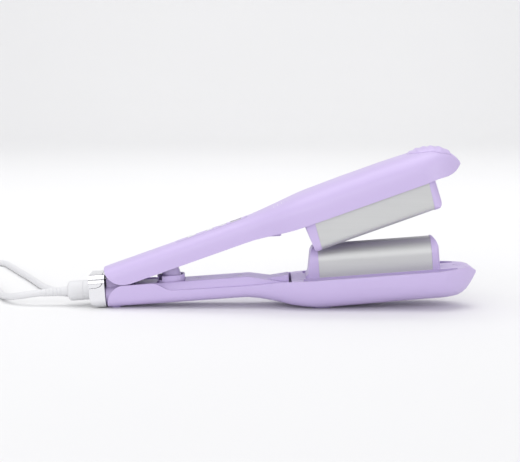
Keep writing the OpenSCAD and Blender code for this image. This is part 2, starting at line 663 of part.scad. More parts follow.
module cord_coil() color(white) translate([coil_centre[0], coil_centre[1], coil_floor]) difference() {
    rotate_extrude() translate([coil_r, coil_layers * cord_r])
        rounded([coil_across * cord_d, coil_layers * cord_d], 2.5);
    translate([-10 - 60, -coil_r - 2 * cord_d, -1]) cube([60, 2 * cord_d, 2 * cord_d + 2]);
    translate([tail_start[0] - coil_centre[0], -coil_r - 3 * cord_d, -1]) cube([60, 15.4, 2 * cord_d + 2]);
}
module cord_tail() color(white) tube(finer(tail_points), [1, 0, 0]);
module coil_tie() color(dark)
    translate([coil_centre[0] + coil_r, coil_centre[1], coil_floor + coil_layers * cord_r])
        rotate([90, 0, 0]) linear_extrude(8, center = true) difference() {
            rounded([coil_across * cord_d + 3, coil_layers * cord_d + 2 * tie_skin], 3);
            rounded([coil_across * cord_d + 1.6, coil_layers * cord_d + 0.04], 2.4);
        }
module plug_body() color(white) translate([plug_x[0], plug_y, plug_z]) rotate([0, 90, 0])
    linear_extrude(plug_x[1] - plug_x[0]) rounded([14, 28], 6);
module plug_pins() color(brass) for (v = [-9.3, 9.3]) translate([plug_x[1], plug_y + v, plug_z])
    rotate([0, 90, 0]) cylinder(r = 2, h = 16);

lower_shell();
lower_handle_cover();
lower_tray();
lower_barrel();
lower_cap_rear();
lower_cap_front();
lower_heater();
heater_clip();
thermal_fuse();
spring_cup();
hinge_block();
hinge_pin();
hinge_washers();
rest_feet();
lower_screws();
lower_wires();
collar_band();
swivel_bush();
lock_slide();
lock_bolt();
swivel_boot();
strain_relief();
contact_pin();
upper_shell();
upper_handle_cover();
upper_tray();
upper_barrels();
upper_caps_rear();
upper_caps_front();
upper_heaters();
thermostat();
thumb_pad();
control_panel();
display_window();
power_button();
minus_button();
plus_button();
control_board();
button_switches();
spring_sleeve();
return_spring();
upper_screws();
upper_wires();
cord();
cord_coil();
cord_tail();
coil_tie();
plug_body();
plug_pins();
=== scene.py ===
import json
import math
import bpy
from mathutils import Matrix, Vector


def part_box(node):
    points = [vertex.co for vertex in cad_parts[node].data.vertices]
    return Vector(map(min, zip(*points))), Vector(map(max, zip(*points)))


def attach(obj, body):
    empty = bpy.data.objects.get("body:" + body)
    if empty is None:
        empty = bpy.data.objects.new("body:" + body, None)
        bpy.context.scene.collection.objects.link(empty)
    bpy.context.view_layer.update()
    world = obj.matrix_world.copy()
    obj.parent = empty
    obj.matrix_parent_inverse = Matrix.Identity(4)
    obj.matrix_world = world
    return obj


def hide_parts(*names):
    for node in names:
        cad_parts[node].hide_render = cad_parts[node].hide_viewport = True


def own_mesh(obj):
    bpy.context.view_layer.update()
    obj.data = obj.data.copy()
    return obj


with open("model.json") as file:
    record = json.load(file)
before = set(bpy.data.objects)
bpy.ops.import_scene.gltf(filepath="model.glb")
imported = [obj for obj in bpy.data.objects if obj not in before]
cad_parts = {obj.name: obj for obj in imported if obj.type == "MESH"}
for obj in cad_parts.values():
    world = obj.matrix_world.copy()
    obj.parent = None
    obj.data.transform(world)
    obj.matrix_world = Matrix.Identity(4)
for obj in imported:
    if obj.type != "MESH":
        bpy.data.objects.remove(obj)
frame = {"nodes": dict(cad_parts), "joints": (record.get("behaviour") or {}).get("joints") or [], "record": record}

# %% [markdown]
# # A deep-wave hair iron, finished in Blender
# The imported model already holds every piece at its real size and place, and it knows how
# the two arms turn. What it lacks is looks. This lesson keeps that model as a fixed frame
# and works over it piece by piece: the lead first, then the finishes, the casings, the
# heated barrels, the hinge, the buttons and the plug, and at the end the studio.

MM = 0.001
nodes = frame["nodes"]
joints = {joint["name"]: joint for joint in frame["joints"]}
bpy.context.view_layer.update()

# %% [markdown]
# Each arm of the iron is a straight bar, so each gets a ruler of its own: u runs along the
# arm from the hinge, v across it and w up from it, all in millimetres. Reading the rulers'
# directions from the joints, and not typing them in, means that they can't drift away from
# the frame. The cord swivel turns about the lower arm's direction, and the buttons are
# pressed straight down into the upper arm.

# %% A ruler for each arm
PIN_BELOW_MEETING = 4.5


def ruler(forward, origin):
    """Matrix from (u, v, w) to the shared frame, both in metres."""
    across = Vector((0, 1, 0))
    up = forward.cross(across)
    turn = Matrix((forward, across, up)).transposed().to_4x4()
    return Matrix.Translation(origin) @ turn


lower_forward = Vector(joints["cord_swivel"]["axis"]).normalized()
press = Vector(joints["power_press"]["axis"]).normalized()
upper_forward = Vector((-press.z, 0, press.x))
lower_up = lower_forward.cross(Vector((0, 1, 0)))
hinge = Vector(joints["arm_hinge"]["pos_m"])
meeting = hinge + lower_up * PIN_BELOW_MEETING * MM
LOWER = ruler(lower_forward, meeting)
UPPER = ruler(upper_forward, meeting)


def only(piece):
    """Leaves everything unselected but this piece, which becomes active."""
    bpy.ops.object.select_all(action="DESELECT")
    piece.select_set(True)
    bpy.context.view_layer.objects.active = piece


def on_lower(u, v, w):
    return LOWER @ (Vector((u, v, w)) * MM)


def on_upper(u, v, w):
    return UPPER @ (Vector((u, v, w)) * MM)


print("meeting point of the arms, mm:", [round(x / MM, 2) for x in meeting])
print("tips of the arms, mm:", [round(x / MM) for x in (*on_lower(298.5, 0, -29), *on_upper(297, 0, -15))])

# %% [markdown]
# ## Camera
# The iron is seen square from the side and from a little above. A long lens from over a
# metre away keeps the two arms nearly free of perspective, as in a
# catalogue. The camera is made first, because what it sees decides where the spare lead may
# lie.

# %% The camera
LENS = 100
CAMERA_DISTANCE = 1.228
CAMERA_RAISE = math.radians(7.5)
aim = Vector((-0.0097, 0, 0.0643))
camera_data = bpy.data.cameras.new("camera")
camera_data.lens = LENS
camera_data.sensor_width = 36
camera = bpy.data.objects.new("camera", camera_data)
bpy.context.scene.collection.objects.link(camera)
back_off = Vector((0, -math.cos(CAMERA_RAISE), math.sin(CAMERA_RAISE)))
camera.location = aim + back_off * CAMERA_DISTANCE
camera.rotation_euler = (-back_off).to_track_quat("-Z", "Y").to_euler()
bpy.context.scene.camera = camera
print("camera at", [round(x, 3) for x in camera.location])

# %% [markdown]
# ## The lead
# A styling tool has about 2 m of soft round flex, six millimetres thick. It leaves the
# swivel in line with the arm, drops to the table within a few centimetres, loops round
# at the left and passes behind the tool. What is left over is wound into a round coil
# behind the heads. A curve with a round bevel is the right tool for it: the line can be
# measured, and its thickness is one number. The coil is wound as a hand would wind it,
# inwards on the table and outwards again on top, so the two ends never cross a turn. The
# curve is then turned into a tube of faces, and a copy with no thickness is turned into a
# mesh too and removed again.

# %% Points that the lead follows
CORD_RADIUS = 3.0
CORD_AXIS_W = -21.1
RELIEF_END_U = -72
COIL_CENTRE = (66, 86)
COIL_LEVELS = (3.8, 9.8)
POINTS_PER_TURN = 16
turns = [(39, 0), (33, 0), (27, 0), (27, 1), (33, 1), (39, 1)]
table_run = [
    (-208, 0.8, 9.4), (-219, 5.5, 7.2), (-229, 17, 5), (-236.5, 33, 3.4), (-243, 55, 3), (-252, 83, 3),
    (-266, 111, 3), (-284, 140, 3), (-299, 168, 3), (-305, 195, 3), (-299, 217, 3), (-283, 226, 3),
    (-267, 217, 3), (-256, 196, 3), (-245, 170, 3), (-231, 138, 3), (-217, 104, 3), (-203, 72, 3),
    (-185, 50, 3), (-160, 39, 3), (-130, 37, 3), (-100, 40, 3), (-70, 43.5, 3), (-35, 46.4, 3),
    (0, 47, 3), (30, 47, 3.3), (56, 47, 3.8)]
to_plug = [(80, 47, 9.8), (88, 47, 9.6), (96, 47.8, 8.9), (103, 49.2, 7.8), (111, 50, 7)]


def wound(turn):
    """Point of the coil after so many turns; the last third of a turn moves to the next place."""
    here = min(int(turn), len(turns) - 1)
    after = min(here + 1, len(turns) - 1)
    t = max(0.0, (turn - here - 0.68) / 0.32)
    t = t * t * (3 - 2 * t)
    radius = turns[here][0] * (1 - t) + turns[after][0] * t
    level = COIL_LEVELS[turns[here][1]] * (1 - t) + COIL_LEVELS[turns[after][1]] * t
    angle = math.radians(-90 + 360 * turn)
    return (COIL_CENTRE[0] + radius * math.cos(angle), COIL_CENTRE[1] + radius * math.sin(angle), level)


coil = [wound(i / POINTS_PER_TURN) for i in range(len(turns) * POINTS_PER_TURN + 1)]
cord_exit = on_lower(RELIEF_END_U, 0, CORD_AXIS_W)
straight_out = on_lower(RELIEF_END_U - 4, 0, CORD_AXIS_W)
cord_points = [cord_exit, straight_out] + [Vector(p) * MM for p in table_run + coil + to_plug]
cord_length = sum((b - a).length for a, b in zip(cord_points, cord_points[1:]))
print(f"lead: {len(cord_points)} points, {cord_length:.2f} m")

# %% The lead as a round curve
cord_line = bpy.data.curves.new("lead", "CURVE")
cord_line.dimensions = "3D"
cord_line.bevel_depth = CORD_RADIUS * MM
cord_line.bevel_resolution = 5
cord_line.resolution_u = 6
cord_line.use_fill_caps = True
strand = cord_line.splines.new("BEZIER")
strand.bezier_points.add(len(cord_points) - 1)
for knot, point in zip(strand.bezier_points, cord_points):
    knot.co = point
    knot.handle_left_type = knot.handle_right_type = "AUTO"


def made_mesh(name, curve):
    piece = bpy.data.objects.new(name, curve)
    bpy.context.scene.collection.objects.link(piece)
    only(piece)
    bpy.ops.object.convert(target="MESH")
    return piece


bare_line = cord_line.copy()
bare_line.bevel_depth = 0
middle = made_mesh("lead_middle", bare_line)
bpy.data.objects.remove(middle)
lead = made_mesh("lead", cord_line)
bpy.ops.object.mode_set(mode="EDIT")
bpy.ops.mesh.select_all(action="SELECT")
bpy.ops.mesh.remove_doubles(threshold=0.000001)
bpy.ops.mesh.normals_make_consistent(inside=False)
bpy.ops.object.mode_set(mode="OBJECT")
bpy.ops.object.shade_smooth_by_angle(angle=math.radians(50))
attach(lead, "lower_arm")
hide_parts("cord", "cord_coil", "cord_tail")

# %% [markdown]
# ## A short way to write shader sums
# A finish is a small net of nodes, and most of it is arithmetic: a noise times a little,
# plus a base value. Written out one node at a time it would hide what it does. So one class
# holds an output socket and answers to Python's own signs, and one method makes any
# other node: its kind, its settings, and what goes into its sockets.

# %% Shader sums in plain Python
class Wire:
    def __init__(self, tree, socket=None):
        self.tree, self.socket = tree, socket

    def node(self, kind, settings=None, inputs=None, output=0):
        made = self.tree.nodes.new("ShaderNode" + kind)
        for name, value in (settings or {}).items():
            if name == "stops":
                ramp = made.color_ramp.elements
                while len(ramp) < len(value):
                    ramp.new(0.5)
                for stop, (at, colour) in zip(ramp, value):
                    stop.position, stop.color = at, (*colour, 1)
            else:
                setattr(made, name, value)
        for name, value in (inputs or {}).items():
            if isinstance(value, Wire):
                self.tree.links.new(value.socket, made.inputs[name])
            else:
                made.inputs[name].default_value = value
        return Wire(self.tree, made.outputs[output] if made.outputs else None)

    def maths(self, operation, *values):
        return self.node("Math", {"operation": operation}, dict(enumerate(values)))

    def __add__(self, other): return self.maths("ADD", self, other)
    def __radd__(self, other): return self.maths("ADD", other, self)
    def __sub__(self, other): return self.maths("SUBTRACT", self, other)
    def __rsub__(self, other): return self.maths("SUBTRACT", other, self)
    def __mul__(self, other): return self.maths("MULTIPLY", self, other)
    def __rmul__(self, other): return self.maths("MULTIPLY", other, self)

    def noise(self, scale, detail=2.0, roughness=0.5):
        """Cloudy values from 0 to 1 about this place, so many lumps to the metre."""
        return self.node("TexNoise", None, {"Vector": self, "Scale": scale, "Detail": detail,
                                            "Roughness": roughness})

    def tint(self, amount, dark, light):
        """A colour between two, by amount."""
        return self.node("Mix", {"data_type": "RGBA"}, {0: amount, 6: (*dark, 1), 7: (*light, 1)}, 2)

    def relief(self, height, depth, strength=1.0, rounded=None):
        """A normal from a height; rounded also softens the sharp edges by that radius."""
        inputs = {"Height": height, "Distance": depth, "Strength": strength}
        if rounded:
            inputs["Normal"] = self.node("Bevel", {"samples": 4}, {"Radius": rounded})
        return self.node("Bump", None, inputs)


def finish(name, paint, **constants):
    """A material: constants sit on the shader's own sockets, and paint gives what varies."""
    material = bpy.data.materials.new(name)
    material.use_nodes = True
    material.node_tree.nodes.clear()
    start = Wire(material.node_tree)
    place = start.node("TexCoord", output=3)
    inputs = {key.replace("_", " "): value for key, value in constants.items()}
    inputs.update(paint(place))
    shader = start.node("BsdfPrincipled", None, inputs)
    start.node("OutputMaterial", None, {"Surface": shader})
    finishes[name] = material
    return material


finishes = {}
print("ready for finishes:", len(finishes), "so far")

# %% [markdown]
# ## Casing finish
# The casings are moulded in lilac plastic with a satin skin. Close to, satin is a fine grain
# that breaks up reflections, and over a hand's width the colour is never quite even. Two
# scales of noise do both: a coarse one drifts the colour and the gloss, a fine one makes the
# grain. Edges of moulded plastic are never razor sharp, so they are softened by a third of
# a millimetre.

# %% Lilac satin plastic
LILAC_DEEP = (0.540, 0.440, 0.715)
LILAC_PALE = (0.578, 0.476, 0.750)
EDGE_SOFTENING = 0.00035


def satin(grain, sheen_of_skin, deep, pale):
    def paint(place):
        drift = place.noise(14, 3)
        skin = place.noise(grain, 2, 0.6)
        return {"Base Color": place.tint(drift, deep, pale),
                "Roughness": sheen_of_skin + 0.10 * drift + 0.06 * skin,
                "Normal": place.relief(skin, 0.00003, 0.5, EDGE_SOFTENING)}
    return paint


finish("casing", satin(2600, 0.32, LILAC_DEEP, LILAC_PALE), Specular_IOR_Level=0.5,
       Coat_Roughness=0.3, Coat_Weight=0.12)
finish("feet", satin(1500, 0.60, (0.48, 0.39, 0.67), (0.52, 0.43, 0.71)), Specular_IOR_Level=0.35)
print("finishes so far:", sorted(finishes))

# %% [markdown]
# ## Barrel finish
# The heated barrels are extruded aluminium, brushed along their length and coated thinly.
# Brushing is noise that is stretched: long along the barrel, a millimetre and less across
# it. A Mapping node turns the pattern to lie along each arm, so the lower
# and upper barrels get one finish each, from the same recipe. The coating dulls the metal, so
# a barrel is not wholly metallic, and mirrors less of the casing above it.

# %% Brushed aluminium, laid along an arm


def brushed(tilt, dark, light, gloss):
    def paint(place):
        along = place.node("Mapping", None, {"Vector": place, "Rotation": (0, tilt, 0),
                                             "Scale": (12, 900, 900)})
        streak = along.noise(1.0, 4, 0.7)
        wide = along.noise(0.12, 2)
        shade = 0.6 * streak + 0.4 * wide
        return {"Base Color": place.tint(shade, dark, light),
                "Roughness": gloss + 0.14 * streak,
                "Normal": place.relief(streak, 0.00002, 0.35, 0.0002)}
    return paint


lower_tilt = math.asin(lower_forward.z)
upper_tilt = math.asin(upper_forward.z)
BARREL_DARK, BARREL_LIGHT = (0.54, 0.545, 0.545), (0.66, 0.665, 0.66)
BARREL_GLOSS, BARREL_METAL = 0.42, 0.72
finish("barrel_lower", brushed(lower_tilt, BARREL_DARK, BARREL_LIGHT, BARREL_GLOSS), Metallic=BARREL_METAL)
finish("barrel_upper", brushed(upper_tilt, BARREL_DARK, BARREL_LIGHT, BARREL_GLOSS), Metallic=BARREL_METAL)
finish("steel", brushed(0, (0.48, 0.48, 0.50), (0.62, 0.62, 0.64), 0.22), Metallic=1.0)
print("brushing tilted by, degrees:", [round(math.degrees(tilt), 1) for tilt in (lower_tilt, upper_tilt)])

# %% [markdown]
# ## The small finishes
# Chrome is almost a mirror, and what makes it look real is a faint haze of handling in its
# gloss. Soft white flex and hard white plastic share a colour and differ in gloss and
# grain. The rest are seen through gaps only, but they are finished too, because the iron
# opens and people look inside.

# %% Chrome, whites and the inner materials


def polished(colour, haze, low):
    def paint(place):
        smear = place.noise(60, 4, 0.6)
        return {"Base Color": place.tint(smear, tuple(0.94 * c for c in colour), colour),
                "Roughness": low + haze * smear,
                "Normal": place.relief(place.noise(300, 2), 0.00001, 0.15, 0.0003)}
    return paint


def moulded(dark, light, grain, gloss):
    def paint(place):
        drift = place.noise(30, 3)
        skin = place.noise(grain, 3, 0.6)
        return {"Base Color": place.tint(0.5 * drift + 0.5 * skin, dark, light),
                "Roughness": gloss + 0.12 * skin,
                "Normal": place.relief(skin, 0.00004, 0.4, 0.00025)}
    return paint


def fired(place):
    pores = place.noise(1800, 4, 0.7)
    return {"Base Color": place.tint(pores, (0.66, 0.63, 0.59), (0.80, 0.78, 0.74)),
            "Roughness": 0.62 + 0.2 * pores, "Normal": place.relief(pores, 0.00006, 0.6)}


def laminate(place):
    weave = place.node("TexWave", {"bands_direction": "X"},
                       {"Vector": place, "Scale": 260, "Distortion": 1.5})
    cloud = place.noise(90, 3)
    return {"Base Color": place.tint(0.3 * weave + 0.7 * cloud, (0.03, 0.15, 0.07), (0.06, 0.25, 0.12)),
            "Roughness": 0.34 + 0.12 * weave, "Normal": place.relief(weave, 0.00003, 0.5)}


finish("chrome_trim", polished((0.88, 0.88, 0.90), 0.08, 0.10), Metallic=1.0)
finish("brass", polished((0.80, 0.62, 0.30), 0.16, 0.16), Metallic=1.0)
finish("white_flex", moulded((0.68, 0.68, 0.70), (0.75, 0.75, 0.765), 1400, 0.42), Specular_IOR_Level=0.4)
finish("white_hard", moulded((0.80, 0.80, 0.82), (0.86, 0.86, 0.875), 2600, 0.26), Coat_Weight=0.2)
finish("dark_plastic", moulded((0.030, 0.030, 0.034), (0.055, 0.055, 0.060), 1600, 0.42))
finish("window", moulded((0.012, 0.010, 0.016), (0.020, 0.017, 0.026), 200, 0.06), Coat_Weight=0.6)
finish("heater", fired)
finish("board", laminate)
print("finishes:", sorted(finishes))

# %% [markdown]
# The record says which finish each node of the frame has, so one loop hands them out, and no
# node is left plain. Only the barrels need a choice, because their brushing follows the arm.

# %% Every node of the frame gets its finish
for part in frame["record"]["subparts"]:
    slot_name = part["material_slot"]
    if slot_name == "barrel":
        slot_name = "barrel_lower" if part["node"].startswith("lower") else "barrel_upper"
    for held in nodes[part["node"]].material_slots:
        held.material = finishes[slot_name]
lead.data.materials.clear()
lead.data.materials.append(finishes["white_flex"])

# %% [markdown]
# ## Casings
# The casings' shapes are right already. Their meshes come as loose triangles, so light
# breaks on each facet. A copy is merged at its doubles and shaded smooth wherever two
# faces meet gently, and stays crisp at the parting lines. The copy then stands for the
# node, which is hidden.

# %% Merged, smoothly shaded copies
owner = {name: body for body, members in frame["record"]["behaviour"]["bodies"].items() for name in members}
slot_of = {part["node"]: part["material_slot"] for part in frame["record"]["subparts"]}


def taken_over(name, smooth_below=32):
    piece = bpy.data.objects.new(name + "_finished", nodes[name].data.copy())
    bpy.context.scene.collection.objects.link(piece)
    only(piece)
    bpy.ops.object.mode_set(mode="EDIT")
    bpy.ops.mesh.select_all(action="SELECT")
    bpy.ops.mesh.remove_doubles(threshold=0.00001)
    bpy.ops.mesh.customdata_custom_splitnormals_clear()
    bpy.ops.mesh.mark_sharp(clear=True)
    bpy.ops.mesh.dissolve_limited(angle_limit=math.radians(0.4))
    bpy.ops.object.mode_set(mode="OBJECT")
    bpy.ops.object.shade_smooth_by_angle(angle=math.radians(smooth_below))
    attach(piece, owner[name])
    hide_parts(name)
    return piece


smooth_names = [
    "lower_shell", "lower_handle_cover", "lower_tray", "upper_shell", "upper_handle_cover", "upper_tray",
    "thumb_pad", "control_panel", "spring_cup", "spring_sleeve", "hinge_block", "collar_band", "lock_slide",
    "lower_cap_rear", "lower_cap_front", "upper_caps_rear", "upper_caps_front", "lower_barrel",
    "upper_barrels", "rest_feet"]
finished = {name: taken_over(name) for name in smooth_names}
for name, piece in finished.items():
    print(name, len(piece.data.polygons), "faces")

# %% [markdown]
# ## Turned pieces
# The swivel boot, the strain relief and the buttons are all bodies of revolution. A lathe
# cut is easy to follow in edit mode: start from one filled ring, pull it along the axis and
# size it, ring after ring. The first and last faces close the ends.

# %% A lathe made of pulled rings
SIDES = 64


def turned(name, rings, place, sides=SIDES, smooth_below=35):
    """rings are (radius, height) in millimetres along the piece's own axis."""
    bpy.ops.object.select_all(action="DESELECT")
    radius, height = rings[0]
    bpy.ops.mesh.primitive_circle_add(vertices=sides, radius=radius * MM, fill_type="NGON",
                                      location=(0, 0, 0))
    piece = bpy.context.object
    piece.name = name
    piece.data.transform(Matrix.Translation((0, 0, height * MM)))
    bpy.ops.object.mode_set(mode="EDIT")
    bpy.ops.mesh.select_all(action="SELECT")
    for next_radius, next_height in rings[1:]:
        bpy.ops.mesh.extrude_region_move(
            TRANSFORM_OT_translate={"value": (0, 0, (next_height - height) * MM)})
        ratio = next_radius / radius
        bpy.ops.transform.resize(value=(ratio, ratio, 1), center_override=(0, 0, next_height * MM))
        radius, height = next_radius, next_height
    bpy.ops.mesh.select_all(action="SELECT")
    bpy.ops.mesh.normals_make_consistent(inside=False)
    bpy.ops.object.mode_set(mode="OBJECT")
    piece.data.transform(place)
    bpy.ops.object.shade_smooth_by_angle(angle=math.radians(smooth_below))
    return piece


def rounded_edge(centre_radius, centre_height, corner, start, stop, steps=6):
    """Rings of a rounded corner, angles in degrees from the radius direction."""
    angles = [math.radians(start + (stop - start) * i / steps) for i in range(steps + 1)]
    return [(centre_radius + corner * math.cos(a), centre_height + corner * math.sin(a)) for a in angles]


def stands_for(piece, name):
    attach(piece, owner[name])
    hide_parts(name)
    piece.data.materials.clear()
    piece.data.materials.append(finishes[slot_of[name]])
    return piece


cord_lathe = LOWER @ Matrix.Translation((0, 0, CORD_AXIS_W * MM)) @ Matrix.Rotation(math.radians(90), 4, "Y")
print("lathe axis of the cord end:", [round(x, 3) for x in cord_lathe.to_3x3() @ Vector((0, 0, 1))])

# %% [markdown]
# ## Swivel boot and strain relief
# The boot is a soft-edged white barrel that turns in the chrome collar, with a fine
# shadow line where its two halves meet. Out of it comes the strain relief: a smooth taper
# with shallow slots cut round it, so it bends in a gentle curve and never at one spot.

# %% The boot
BOOT_RADIUS = 8.5
boot_rings = (
    [(2.0, -44.0), (4.3, -44.0), (4.3, -49.4), (4.7, -50.0)]
    + rounded_edge(5.2, -46.4, 3.3, -90, 0, 8)[1:]
    + [(BOOT_RADIUS, -36.2), (BOOT_RADIUS - 0.35, -36.0), (BOOT_RADIUS - 0.35, -35.7), (BOOT_RADIUS, -35.5),
       (BOOT_RADIUS, -27.8), (BOOT_RADIUS - 0.3, -27.5), (5.0, -27.5), (5.0, -19.4), (6.1, -19.4),
       (6.1, -17.5), (2.0, -17.5)])
stands_for(turned("boot", boot_rings, cord_lathe), "swivel_boot")
print("boot:", len(boot_rings), "rings of", SIDES, "sides")

# %% The strain relief
SLOTS = 5
SLOT_PITCH = 3.1
TONGUE_THIN, TONGUE_THICK = CORD_RADIUS + 0.15, CORD_RADIUS + 1.1


def tongue(u):
    """Radius of the smooth taper."""
    return TONGUE_THIN + (TONGUE_THICK - TONGUE_THIN) * (u - RELIEF_END_U) / 22


relief_rings = [(1.2, RELIEF_END_U), (tongue(RELIEF_END_U) - 0.3, RELIEF_END_U),
                (tongue(RELIEF_END_U), RELIEF_END_U + 0.3)]
for i in range(SLOTS):
    u = RELIEF_END_U + 3.2 + SLOT_PITCH * i
    relief_rings += [(tongue(u), u), (tongue(u) - 0.3, u + 0.15), (tongue(u) - 0.3, u + 0.55),
                     (tongue(u), u + 0.7)]
relief_rings += [(tongue(-52), -52), (4.2, -50.6), (4.2, -44.0), (1.2, -44.0)]
stands_for(turned("relief", relief_rings, cord_lathe, 48), "strain_relief")
print("relief runs", round(-44.0 - RELIEF_END_U), "mm")

# %% [markdown]
# ## Buttons
# Three white keys sit in the upper arm: power, less and more. Each is turned with a
# dished top for the fingertip, and carries its sign as a low raised shape: a broken ring
# with a bar, a bar, and a cross. The signs are cut from simple bars and a ring, and
# joined to their key so that they go down with it.

# %% Keys with dished tops and raised signs
BUTTON_U = {"power": 62, "minus": 78, "plus": 90}
BUTTON_RADIUS = {"power": 4.4, "minus": 3.6, "plus": 3.6}
KEY_TOP = 2.8


def bar(length, width, turn_deg=0, shift=(0, 0)):
    """A low bar with eased edges, for a sign on a key."""
    bpy.ops.object.select_all(action="DESELECT")
    bpy.ops.mesh.primitive_cube_add(size=1)
    piece = bpy.context.object
    piece.data.transform(Matrix.Diagonal((length * MM, width * MM, 0.3 * MM, 1)))
    bpy.ops.object.mode_set(mode="EDIT")
    bpy.ops.mesh.select_all(action="SELECT")
    bpy.ops.mesh.bevel(offset=0.08 * MM, segments=2, affect="EDGES")
    bpy.ops.object.mode_set(mode="OBJECT")
    piece.data.transform(Matrix.Translation((shift[0] * MM, shift[1] * MM, 0))
                         @ Matrix.Rotation(math.radians(turn_deg), 4, "Z"))
    return piece


def broken_ring(radius, wire, gap_deg):
    """Most of a ring, from a small square spun about its middle."""
    bpy.ops.object.select_all(action="DESELECT")
    bpy.ops.mesh.primitive_plane_add(size=wire * MM)
    piece = bpy.context.object
    piece.data.transform(Matrix.Translation((radius * MM, 0, 0)) @ Matrix.Rotation(math.radians(90), 4, "X")
                         @ Matrix.Diagonal((1, 0.3 / wire, 1, 1)))
    piece.data.transform(Matrix.Rotation(math.radians(gap_deg / 2), 4, "Z"))
    bpy.ops.object.mode_set(mode="EDIT")
    bpy.ops.mesh.select_all(action="SELECT")
    bpy.ops.mesh.spin(steps=28, angle=math.radians(360 - gap_deg), center=(0, 0, 0), axis=(0, 0, 1))
    bpy.ops.mesh.select_all(action="SELECT")
    bpy.ops.mesh.normals_make_consistent(inside=False)
    bpy.ops.object.mode_set(mode="OBJECT")
    return piece


def joined(main, *others):
    bpy.ops.object.select_all(action="DESELECT")
    for other in others:
        other.select_set(True)
    main.select_set(True)
    bpy.context.view_layer.objects.active = main
    bpy.ops.object.join()
    return main


for key, u in BUTTON_U.items():
    r = BUTTON_RADIUS[key]
    place = UPPER @ Matrix.Translation((u * MM, 0, 0))
    rings = [(0.4, -2.0), (1.2, -2.0), (1.2, 0.9), (r - 0.1, 0.9), (r, 1.0)]
    rings += rounded_edge(r - 0.45, KEY_TOP - 0.45, 0.45, 0, 90, 5)
    rings += [(0.72 * r, KEY_TOP - 0.06), (0.45 * r, KEY_TOP - 0.22), (0.15 * r, KEY_TOP - 0.3)]
    piece = turned(key + "_key", rings, Matrix.Identity(4), 48)
    if key == "power":
        signs = [broken_ring(1.5, 0.36, 70), bar(1.6, 0.36, 0, (1.1, 0))]
    elif key == "minus":
        signs = [bar(2.6, 0.42, 90)]
    else:
        signs = [bar(2.6, 0.42, 90), bar(2.6, 0.42, 0)]
    for sign in signs:
        sign.data.transform(Matrix.Translation((0, 0, (KEY_TOP - 0.12) * MM)))
    joined(piece, *signs)
    piece.data.transform(place)
    stands_for(piece, key + "_button")
    print(key, "key:", len(piece.data.polygons), "faces")

# %% [markdown]
# ## Pilot dots
# On the near shoulder of the upper arm sit six pin-head dots in two short rows, a light
# guide that shines through the casing. One dot is turned as a low dome and copied, each
# copy with its own mesh, and each is set down on the casing by a ray that is shot at it
# from outside, so it stands square to the skin wherever it lands.

# %% Six dots set square to the skin
DOT_RADIUS, DOT_PROUD, DOT_SUNK = 0.45, 0.12, 0.3
DOT_COLUMNS, DOT_ROWS = 3, 2
FIRST_DOT_U, COLUMN_PITCH = 136.5, 3.6
FIRST_DOT_V, ROW_PITCH = -9.5, -3.4
ABOVE_ARM = 40
skin_of_arm = finished["upper_shell"]
bpy.context.view_layer.update()
dome = [(DOT_RADIUS, -DOT_SUNK), (DOT_RADIUS, 0.02), (0.8 * DOT_RADIUS, 0.6 * DOT_PROUD),
        (0.4 * DOT_RADIUS, DOT_PROUD)]
first_dot = turned("pilot_dots", dome, Matrix.Identity(4), 12)
dots = []
for column in range(DOT_COLUMNS):
    for row in range(DOT_ROWS):
        start = on_upper(FIRST_DOT_U + COLUMN_PITCH * column, FIRST_DOT_V + ROW_PITCH * row, ABOVE_ARM)
        _, spot, normal, _ = skin_of_arm.ray_cast(start, press)
        dot = first_dot.copy()
        dot.data = first_dot.data.copy()
        bpy.context.scene.collection.objects.link(dot)
        dot.data.transform(Matrix.Translation(spot) @ normal.to_track_quat("Z", "Y").to_matrix().to_4x4())
        dots.append(dot)
bpy.data.objects.remove(first_dot)
pilot_dots = joined(dots[0], *dots[1:])
pilot_dots.name = "pilot_dots"
pilot_dots.data.materials.append(finishes["white_hard"])
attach(pilot_dots, "upper_arm")
print(len(dots), "dots")

# %% [markdown]
# ## Return spring
# A coil spring stands in the cup and pushes the arms apart. The Screw modifier sweeps a
# small ring along a helix, which is exactly how a spring is wound.

# %% The spring
SPRING_TURNS = 7
SPRING_FOOT = (40.5, 0, -28.6)
SPRING_LEAN = -8.5
COIL_RADIUS = 2.7
SPRING_LENGTH = 27
WIRE_RADIUS = 0.5
bpy.ops.object.select_all(action="DESELECT")
bpy.ops.mesh.primitive_circle_add(vertices=10, radius=WIRE_RADIUS * MM)
spring = bpy.context.object
spring.name = "spring"
spring.data.transform(Matrix.Translation((COIL_RADIUS * MM, 0, 0.6 * MM))
                      @ Matrix.Rotation(math.radians(90), 4, "X"))
winding = spring.modifiers.new("winding", "SCREW")
winding.axis = "Z"
winding.angle = math.radians(360 * SPRING_TURNS)
winding.screw_offset = (SPRING_LENGTH - 1.2) * MM
winding.iterations = 1
winding.steps = winding.render_steps = 24 * SPRING_TURNS
winding.use_merge_vertices = True
only(spring)
bpy.ops.object.modifier_apply(modifier="winding")
bpy.ops.object.mode_set(mode="EDIT")
bpy.ops.mesh.select_all(action="SELECT")
bpy.ops.mesh.remove_doubles(threshold=0.000001)
bpy.ops.mesh.select_all(action="DESELECT")
bpy.ops.mesh.select_non_manifold()
bpy.ops.mesh.edge_face_add()
bpy.ops.mesh.select_all(action="SELECT")
bpy.ops.mesh.normals_make_consistent(inside=False)
bpy.ops.object.mode_set(mode="OBJECT")
spring_place = (LOWER @ Matrix.Translation([x * MM for x in SPRING_FOOT])
                @ Matrix.Rotation(math.radians(SPRING_LEAN), 4, "Y"))
spring.data.transform(spring_place)
bpy.ops.object.shade_smooth_by_angle(angle=math.radians(40))
stands_for(spring, "return_spring")
tuple(spring_place.to_3x3() @ Vector((0, 0, 1)))
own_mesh(spring)
